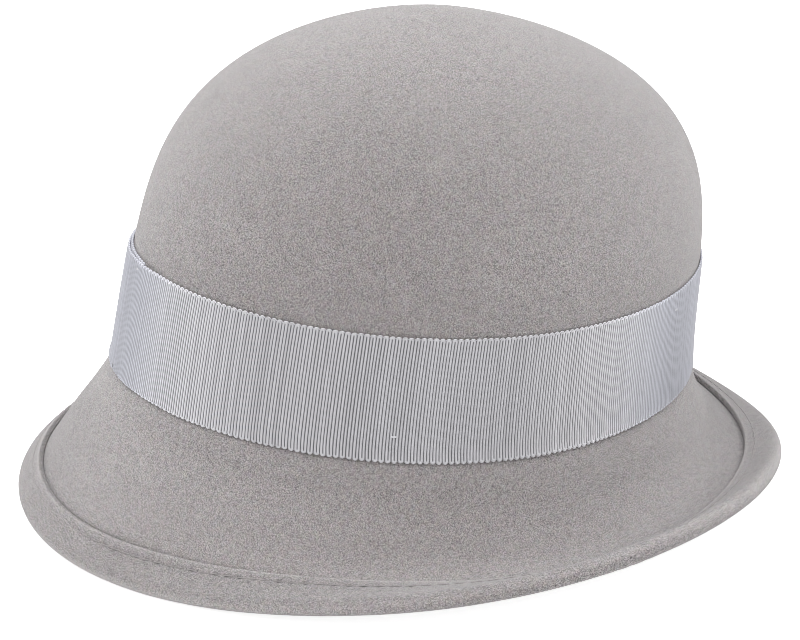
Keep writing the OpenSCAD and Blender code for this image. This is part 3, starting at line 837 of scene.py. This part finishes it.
# ----------------------------------------------------------------- ribbon ---
def build_band():
    """One corded ribbon strip with lapped ends: a single weft cord runs up and down
    across it and turns in a small loop at each edge. x counts cords along it."""
    sample = np.linspace(0, 360 + LAP_LEN, 20001)
    turn = -np.radians(LAP_AT + sample)
    path = wall(turn, 20 + 0 * turn, BAND_GAP + .4)
    step = np.r_[0, np.linalg.norm(np.diff(path, axis=0), axis=1)]
    density = 1.02 + .04 * np.sin(turn - math.radians(65))    # cords per mm
    cords = np.cumsum(step * density)
    total = 2 * round(cords[-1] / 2)
    cords *= total / cords[-1]
    per_cord = 6
    count = total * per_cord + 1
    x = np.arange(count) / per_cord
    degrees = np.interp(x, cords, sample)
    turn = -np.radians(LAP_AT + degrees)
    pitch = 1 / np.interp(x, cords, density)
    # the lapped end rises over the start and hangs a little lower
    rise = (BAND_T + .15) * smooth((degrees - 350) / 10)
    drop = LAP_DROP * smooth((degrees - 358) / 18)
    low, top = band_low(turn) - drop * .3, band_top(turn) - drop

    rng = np.random.default_rng(21)
    size = 1 + .10 * np.repeat(rng.uniform(-1, 1, total + 1), per_cord)[:count]

    def wobble(amount, spacing, draws):
        knots = np.arange(0, total + spacing, spacing)
        return amount * np.interp(x, knots, rng.normal(size=draws)[:len(knots)])

    sway = wobble(.05, 3, total // 3 + 2)
    low = low + wobble(.06, 2, total // 2 + 1)
    top = top + wobble(.06, 2, total // 2 + 1)

    cord_r, cord_h, base_h = .47 * pitch, .40, .30
    end = np.minimum(x, total - x) / 1.2
    end_round = np.where(end < 1, np.sqrt(np.clip(1 - (1 - end) ** 2, .04, 1)), 1)

    def height(off_centre):
        return cord_h * np.sqrt(np.clip(1 - (off_centre / cord_r) ** 2, 0, 1))

    def loop_row(phase, share):
        """Distance past the straight cords, and height, on a row through the loops."""
        side = phase * pitch
        reach = np.sqrt(np.maximum((.40 * pitch) ** 2, (.97 * pitch) ** 2 - side ** 2))
        past = share * reach
        return past, height(np.abs(np.hypot(side, past) - .5 * pitch))

    # loops join each pair of cords: even pairs at one edge, odd at the other
    loop_shares = (1, .9, .7, .45, .22)
    rows = []
    for share in loop_shares:
        past, high = loop_row((x + 1) % 2 - 1, share)
        rows.append((low + pitch - past, high * size))
    for share in (0, .05, .11, .19, .35, .6, .82, 1):
        high = height(np.abs(x % 1 - .5) * pitch)
        rows.append((low + pitch + (top - low - 2 * pitch) * share, high * size))
    for share in loop_shares[::-1]:
        past, high = loop_row(x % 2 - 1, share)
        rows.append((top - pitch + past, high * size))

    first_z, last_z = rows[0][0], rows[-1][0]
    back_out = BAND_GAP + rise + .02
    columns = []                # point, rib, across, selvedge
    for z, high in rows:
        swayed = turn + sway / 86 * smooth((z - low) / 4) * smooth((top - z) / 4)
        edge = np.minimum(z - first_z, last_z - z)
        columns.append((skin(swayed, z, back_out + (base_h + high) * end_round),
                        np.maximum(high / cord_h, .8 * smooth(1 - edge / (.16 * pitch))),
                        z, smooth(1 - edge / (.30 * pitch))))
    inner = [(low + (top - low) * share, 0) for share in (.6, .22, .10)]
    for z, selvedge in [(last_z, 1), *inner, (first_z, 1)]:
        columns.append((skin(turn, z, back_out), 0 * z + .8, z, 0 * z + selvedge))
    rings, rib, across, selvedge = (np.stack(column, 1) for column in zip(*columns))
    sides = len(columns)
    normal = unit((wall(turn, 20, 5) - wall(turn, 20, 0)) @ TILT.T)
    normal = np.repeat(normal, sides, 0)
    return *tube(rings), dict(
        rib=rib.ravel(), across=across.ravel(), along=np.repeat(x, sides),
        selv=selvedge.ravel(), nx=normal[:, 0], ny=normal[:, 1], nz=normal[:, 2])


make("hat_band", build_band(), "ribbon")


# ---------------------------------------------------------------- threads ---
def hem_stitches(seed, under):
    rng = np.random.default_rng(seed)
    parts = []
    for i in range(STITCHES):
        along = np.linspace(-.47, .47, 11)
        line = station((i + 0.5) * TAU / STITCHES + along * TAU / STITCHES)
        sink = .50 * (2 * np.abs(along)) ** 7
        inset = line.hem - STITCH_IN + rng.normal() * .05 + .05 * np.sin(along * pi)
        lift = -FELT_T - .10 + sink if under else hem_top(line, inset) + .06 - sink
        parts.append(stitch(lambda lift: rim(line, inset, lift), lift, radius=.19, flat=.85))
    return join(parts)


make("hem_stitch_top", hem_stitches(31, under=False), "hem_thread")
make("hem_stitch_under", hem_stitches(32, under=True), "hem_thread")

# Degrees round the hat, height, layers of ribbon below, extra lift
TACKS = ((-4.5, 37.75, 2, .12), (62, 6.25, 1, .12), (125, 34, 1, -.02), (185, 6, 1, -.02),
         (240, 33, 1, -.02), (290, 4, 1, -.02), (-41.5, 5, 2, -.02), (-41.5, 36, 2, -.02))


def band_tacks():
    """Pairs of short, slightly slanted stitches holding the ribbon."""
    parts = []
    along = np.linspace(-1, 1, 11)
    for degrees, height, layers, extra in TACKS:
        turn = np.radians(degrees + .56 * along)
        out = BAND_GAP + BAND_T + (layers - 1) * (BAND_T + .15)
        lift = out + extra - .34 * np.abs(along) ** 5
        for shift, slant in ((-.16, .10), (.16, -.08)):
            z = height + shift + slant * along
            parts.append(stitch(lambda lift: skin(turn, z, lift), lift, radius=.15, flat=.9))
    return join(parts)


make("band_tacks", band_tacks(), "tack_thread")


# ------------------------------------------------------------ inner parts ---
def build_sweatband():
    """Corded strip whose top is folded over inward to make a channel for the cord."""
    thick = SWEAT_T

    def bend(radius, corded, degrees):
        return [(CORD_IN + radius * math.cos(math.radians(a)),
                 CORD_Z + radius * math.sin(math.radians(a)), corded) for a in degrees]

    # section: inward, height, 1 where the face is corded
    outline = np.array([
        (0, 1.5, 0), (0, 10, 0), (0, 20, 0), (0, SWEAT_H - .4, 0),
        *bend(1.75, 1, (115, 92, 70, 48, 26, 4, -18, -40)),
        (thick + 1.5, SWEAT_H - 4.5, 1), (thick + .98, SWEAT_H - 6.3, 1),
        (thick + .72, SWEAT_H - 6.55, 0), (thick + .36, SWEAT_H - 6.3, 0),
        (thick + .75, SWEAT_H - 4.4, 0),
        *bend(1.05, 0, (-45, -10, 30, 75, 118)),
        (thick, SWEAT_H - 1.8, 0), (thick, 24, 0), (thick, 22.5, 1), (thick, 17, 1),
        (thick, 11, 1), (thick, 5, 1), (thick, 2.1, 1), (thick * .7, 1.62, 0),
        (thick * .3, 1.45, 0)])
    profile, corded = outline[:, :2], outline[:, 2]
    step = np.roll(profile, -1, 0) - np.roll(profile, 1, 0)
    normal = unit(np.stack([-step[:, 1], step[:, 0]], -1))
    cords, per_cord = 548, 4
    x = np.arange(cords * per_cord + 1) / per_cord
    turn = (np.radians(180 + SWEAT_OPEN / 2)
            + x / cords * math.radians(360 - SWEAT_OPEN))
    rib = .5 + .5 * np.cos(TAU * (x - .5))
    rib = rib * smooth(np.minimum(x, cords - x) / 1.5)
    height = (rib - .5) * .22
    grid = profile[None] + height[:, None, None] * (normal * corded[:, None])[None]
    inward, z = grid[..., 0], grid[..., 1]
    sag = .15 * np.sin(5 * turn + .4) + .1 * np.sin(9 * turn + 2)
    rings = inside(turn[:, None], inward, z + sag[:, None] * smooth((z - 4) / 8))
    return *tube(rings), dict(rib=(rib[:, None] * np.maximum(corded, .5)).ravel(),
                              along=np.repeat(x, len(outline)),
                              across=np.tile(outline[:, 1], len(x)))


make("sweatband", build_sweatband(), "sweat_ribbon")


def sweatband_stitches():
    rng = np.random.default_rng(41)
    count = 96
    along = np.linspace(-1, 1, 11)
    inward = SWEAT_T + .22 - .45 * np.abs(along) ** 7
    parts = []
    for i in range(count):
        centre = 180 + SWEAT_OPEN / 2 + (i + .5) * (360 - SWEAT_OPEN) / count
        turn = math.radians(centre) + math.radians(1.38) * along
        z = 3.4 + rng.normal() * .06 + .04 * along
        parts.append(stitch(lambda lift: inside(turn, lift, z), inward, radius=.18, flat=.85))
    return join(parts)


make("sweatband_stitching", sweatband_stitches(), "sweat_thread")


def cord_bow(share, side):
    """One end of the cord: out of the channel, one loop of the bow, a hanging tail.
    Columns are degrees round the hat, inward, height."""
    leave = np.clip(share / .2, 0, 1)
    loop = np.clip((share - .2) / .55, 0, 1) * TAU
    tail = np.clip((share - .75) / .25, 0, 1)
    degrees = (180 + side * (SWEAT_OPEN / 2 - leave * (SWEAT_OPEN / 2 - .9))
               + side * 5.4 * (1 - np.cos(loop)) * .62 + side * 3.6 * tail)
    inward = CORD_IN - .4 * leave + 1.9 * loop / TAU + .25 * np.sin(pi * tail)
    z = CORD_Z - 1.5 * leave - .8 * loop / TAU + 3.4 * np.sin(loop) - 15 * tail
    return np.stack([degrees, inward, z], -1)


def build_cord():
    """Drawcord through the sweatband's channel, tied in a bow at the back."""
    share = np.linspace(0, 1, 110)
    ring = np.linspace(0, 1, 900)[1:-1]
    ring = np.stack([180 + SWEAT_OPEN / 2 + ring * (360 - SWEAT_OPEN),
                     CORD_IN + 0 * ring, CORD_Z + 0 * ring], -1)
    course = np.concatenate([cord_bow(share[::-1], 1), ring, cord_bow(share, -1)])
    points = inside(np.radians(course[:, 0]), course[:, 1], course[:, 2])
    length = path_length(points)
    along = np.arange(0, length[-1], .42)
    path = np.stack([np.interp(along, length, points[:, k]) for k in range(3)], -1)
    kernel = np.array([1, 2, 3, 2, 1.]) / 9
    for k in range(3):
        path[2:-2, k] = np.convolve(path[:, k], kernel, "valid")
    ahead = unit(np.gradient(path, axis=0))
    # carry the side direction along without turning it, so that the twist runs evenly
    side = np.zeros_like(path)
    side[0] = unit(np.cross(ahead[0], [.3, .5, .8]))
    for i in range(1, len(path)):
        side[i] = unit(side[i - 1] - ahead[i] * np.dot(side[i - 1], ahead[i]))
    top = np.cross(ahead, side)
    sides = 12
    swing = ring_turns(sides)[None]
    twist = along / 2.4 * TAU
    radius = CORD_R * (.86 + .14 * np.cos(2 * (swing - twist[:, None] / 2)))
    from_end = np.minimum(along, along[-1] - along)
    radius = radius * np.minimum(1, np.sqrt(np.clip(from_end / .9, .02, 1)))[:, None]
    rings = path[:, None] + radius[..., None] * (np.cos(swing)[..., None] * side[:, None]
                                                 + np.sin(swing)[..., None] * top[:, None])
    cord = (*tube(rings), dict(along=np.repeat(along, sides),
                               around=np.tile(np.arange(sides) / sides, len(along))))
    # the knot: one turn of the cord round both strands
    share = np.linspace(0, 1, 40)
    wrap = share * TAU * 1.06
    knot = inside(np.radians(180 + (share - .5) * .9), CORD_IN + .1 + 1.35 * np.cos(wrap),
                  CORD_Z - 1.9 + 1.5 * np.sin(wrap))
    return join([cord, thread(knot, np.array([0, 1, .001]), .62, sides=10)])


make("size_cord", build_cord(), "cord")


def patch(degrees, heights, thick, puff, turned_ends):
    """A soft cloth patch on the sweatband: rounded edges, ends turned under or not."""
    cols, rows = 60, 13
    out = SWEAT_T + .16
    along, up = np.meshgrid(np.linspace(0, 1, cols), np.linspace(0, 1, rows), indexing="ij")
    edge = np.minimum(np.minimum(along, 1 - along) * (cols - 1) * .55,
                      np.minimum(up, 1 - up) * (rows - 1) * .9)
    rounded = np.sqrt(np.clip(1 - (1 - np.clip(edge, 0, 1)) ** 2, .03, 1))
    extra = puff * np.sin(pi * along) * np.sin(pi * up)
    if turned_ends:
        extra = extra + .22 * (smooth((.10 - along) / .03) + smooth((along - .90) / .03))
    middle = out + .5 * thick
    turn = np.radians(degrees[0] + (degrees[1] - degrees[0]) * along)
    z = heights[0] + (heights[1] - heights[0]) * up
    points = np.concatenate([
        inside(turn, middle + (.5 * thick + extra) * rounded, z).reshape(-1, 3),
        inside(turn, middle - .5 * thick * rounded, z).reshape(-1, 3)])
    count = cols * rows
    grid = quads(cols, rows, False, False)
    faces = grid.tolist() + (grid + count)[:, ::-1].tolist()
    border = ([i * rows for i in range(cols)]
              + [(cols - 1) * rows + j for j in range(1, rows)]
              + [i * rows + rows - 1 for i in range(cols - 2, -1, -1)]
              + list(range(rows - 2, 0, -1)))
    for here, there in zip(border, border[1:] + border[:1]):
        faces.append([here, count + here, count + there, there])
    # nominal length: 57.3 degrees to the radian, 90 mm radius
    length = (degrees[1] - degrees[0]) / 57.3 * 90
    shade = (1 - np.clip(edge / 2.2, 0, 1)) * .6
    attrs = dict(along=along * length, across=z, edge=shade)
    return (points, faced_out(points, faces),
            {key: np.tile(values.ravel(), 2) for key, values in attrs.items()})


make("main_label", patch(degrees=(72, 104), heights=(6.5, 20.5), thick=.33, puff=.05,
                         turned_ends=True), "label_dark")
make("size_tab", patch(degrees=(205, 212), heights=(5, 17), thick=.28, puff=.10,
                       turned_ends=False), "label_light")


def wire_rings(line, radius, sides):
    """Rings about the wire's line; radius is shaped (count, 1) or (count, sides)."""
    radius = radius + np.zeros(sides)
    return np.stack([fold(line, radius[:, j], swing)
                     for j, swing in enumerate(ring_turns(sides))], 1)


def build_wire():
    """Covered wire inside the fold, its two ends meeting at the back."""
    count, sides = 1240, 10
    line = station(np.radians(180.3) + np.linspace(0, 1, count) * math.radians(359.4))
    swing = ring_turns(sides)
    along = np.linspace(0, 790, count)
    radius = WIRE_R * (.96 + .04 * np.cos(swing[None] - along[:, None] / 2.6 * TAU))
    return *tube(wire_rings(line, radius, sides)), dict(
        along=np.repeat(along, sides), around=np.tile(swing / TAU, count))


make("brim_wire", build_wire(), "wire_cover")


def build_joiner():
    """Steel sleeve over the wire's ends at the back, crimped in two places."""
    share = np.linspace(-1, 1, 61)
    sides = 20
    line = station(np.radians(180) + share * math.radians(3 * 360 / 84))
    crimp = .09 * np.exp(-((np.abs(share) - .45) / .07) ** 2)
    lip = .05 * smooth((np.abs(share) - .93) / .05)
    outer = wire_rings(line, (WIRE_R + .32 - crimp - lip)[:, None], sides)
    inner = wire_rings(line, (WIRE_R + .07 - crimp * .5)[:, None], sides)
    rings = np.concatenate([outer, inner[::-1]])
    points = rings.reshape(-1, 3)
    return points, faced_out(points, quads(len(rings), sides, True, True).tolist()), {}


make("wire_joiner", build_joiner(), "steel")

# ------------------------------------------------------------------ stage ---
scene = bpy.context.scene
scene.view_settings.view_transform = "Standard"
scene.view_settings.look = "None"
scene.view_settings.exposure = 0
scene.view_settings.gamma = 1
scene.cycles.filter_width = 1.0


def floor_material():
    """Pale diffuse floor that also glows, but only as the camera sees it."""
    material = bpy.data.materials.new("floor")
    material.use_nodes = True
    nodes, links = material.node_tree.nodes, material.node_tree.links
    nodes.clear()
    output = nodes.new("ShaderNodeOutputMaterial")
    diffuse = nodes.new("ShaderNodeBsdfDiffuse")
    diffuse.inputs["Color"].default_value = (.86, .86, .86, 1)
    glow = nodes.new("ShaderNodeEmission")
    glow.inputs["Color"].default_value = (1, 1, 1, 1)
    path = nodes.new("ShaderNodeLightPath")
    strength = nodes.new("ShaderNodeMath")
    strength.operation = "MULTIPLY"
    strength.inputs[1].default_value = .80
    links.new(path.outputs["Is Camera Ray"], strength.inputs[0])
    links.new(strength.outputs[0], glow.inputs["Strength"])
    both = nodes.new("ShaderNodeAddShader")
    links.new(diffuse.outputs[0], both.inputs[0])
    links.new(glow.outputs[0], both.inputs[1])
    links.new(both.outputs[0], output.inputs["Surface"])
    return material


def build_floor():
    half, below = 40, .0002     # metres
    material = floor_material()
    mesh = bpy.data.meshes.new("floor")
    mesh.from_pydata([(-half, -half, 0), (half, -half, 0), (half, half, 0), (-half, half, 0)],
                     [], [(0, 1, 2, 3)])
    mesh.materials.append(material)
    floor = bpy.data.objects.new("floor", mesh)
    floor.location = (0, 0, float(cad_lo[2]) - below)
    scene.collection.objects.link(floor)


def build_world(ambient, seen):
    """White surroundings: one strength for lighting, another as the camera sees it."""
    world = bpy.data.worlds.new("studio")
    scene.world = world
    world.use_nodes = True
    nodes, links = world.node_tree.nodes, world.node_tree.links
    background = nodes["Background"]
    path = nodes.new("ShaderNodeLightPath")
    strength = nodes.new("ShaderNodeMix")
    strength.data_type = "FLOAT"
    strength.inputs[2].default_value = ambient
    strength.inputs[3].default_value = seen
    links.new(path.outputs["Is Camera Ray"], strength.inputs[0])
    links.new(strength.outputs[0], background.inputs["Strength"])
    background.inputs["Color"].default_value = (1, 1, 1, 1)


def softbox(name, azimuth, elevation, distance, size, watts):
    """A square soft light aimed at the hat; its angles are as for the camera."""
    az, el = math.radians(azimuth), math.radians(elevation)
    back = Vector((math.sin(az) * math.cos(el), -math.cos(az) * math.cos(el), math.sin(el)))
    light = bpy.data.lights.new(name, "AREA")
    light.shape = "SQUARE"
    light.size = size
    light.energy = watts
    obj = bpy.data.objects.new(name, light)
    scene.collection.objects.link(obj)
    place = Vector((0, 0, .08)) + back * distance
    facing = back.to_track_quat("Z", "Y").to_matrix().to_4x4()
    obj.matrix_world = Matrix.Translation(place) @ facing


build_floor()
build_world(ambient=.36, seen=1.05)

VIEW = 59.2     # azimuth the lights are set out from, close to the camera's
# Name, azimuth, elevation (degrees), distance, size (metres), watts
LIGHTS = (
    ("front_high", VIEW, 60, 1.6, 1.2, 12.8),
    ("front", VIEW, 12, 1.8, 1.2, 7.8),
    ("front_right", VIEW + 42, 25, 1.6, 1.1, 6.6),
    ("left_high", VIEW - 80, 55, 1.6, 1.1, 7.0),
    ("back_left", VIEW - 130, 30, 1.8, 1.2, 9.0),
    ("back_right", VIEW + 130, 30, 1.8, 1.2, 9.0),
)
for spec in LIGHTS:
    softbox(*spec)

# ----------------------------------------------------------------- camera ---
CAM_AZIMUTH, CAM_ELEVATION, CAM_ROLL = 59.23191, 17.9779, 4.83194    # degrees, hat axes
CAM_DISTANCE = 748.708708       # mm from the target
CAM_TARGET = (0, 0, 40.0)
# The view is swung off the target by these slopes
CAM_LEFT, CAM_DOWN = .0080315882, .03535646
CAM_LENS, CAM_SENSOR = 98.813794, 36


def build_camera():
    az, el, roll = map(math.radians, (CAM_AZIMUTH, CAM_ELEVATION, CAM_ROLL))
    back = np.array([math.sin(az) * math.cos(el), -math.cos(az) * math.cos(el), math.sin(el)])
    right = unit(np.cross(-back, [0, 0, 1.0]))
    up = np.cross(right, -back)
    cos, sin = math.cos(roll), math.sin(roll)
    right, up = cos * right + sin * up, -sin * right + cos * up
    ahead = unit(-back - CAM_LEFT * right - CAM_DOWN * up)
    right = unit(right - (right @ ahead) * ahead)
    up = np.cross(right, ahead)
    pose = np.eye(4)
    pose[:3, 0] = TILT @ right
    pose[:3, 1] = TILT @ up
    pose[:3, 2] = -(TILT @ ahead)
    pose[:3, 3] = to_frame(np.array(CAM_TARGET) + back * CAM_DISTANCE)
    camera = bpy.data.cameras.new("camera")
    camera.sensor_width = CAM_SENSOR
    camera.lens = CAM_LENS
    camera.clip_start, camera.clip_end = .01, 100
    obj = bpy.data.objects.new("camera", camera)
    obj.matrix_world = Matrix(pose.tolist())
    scene.collection.objects.link(obj)
    scene.camera = obj


build_camera()
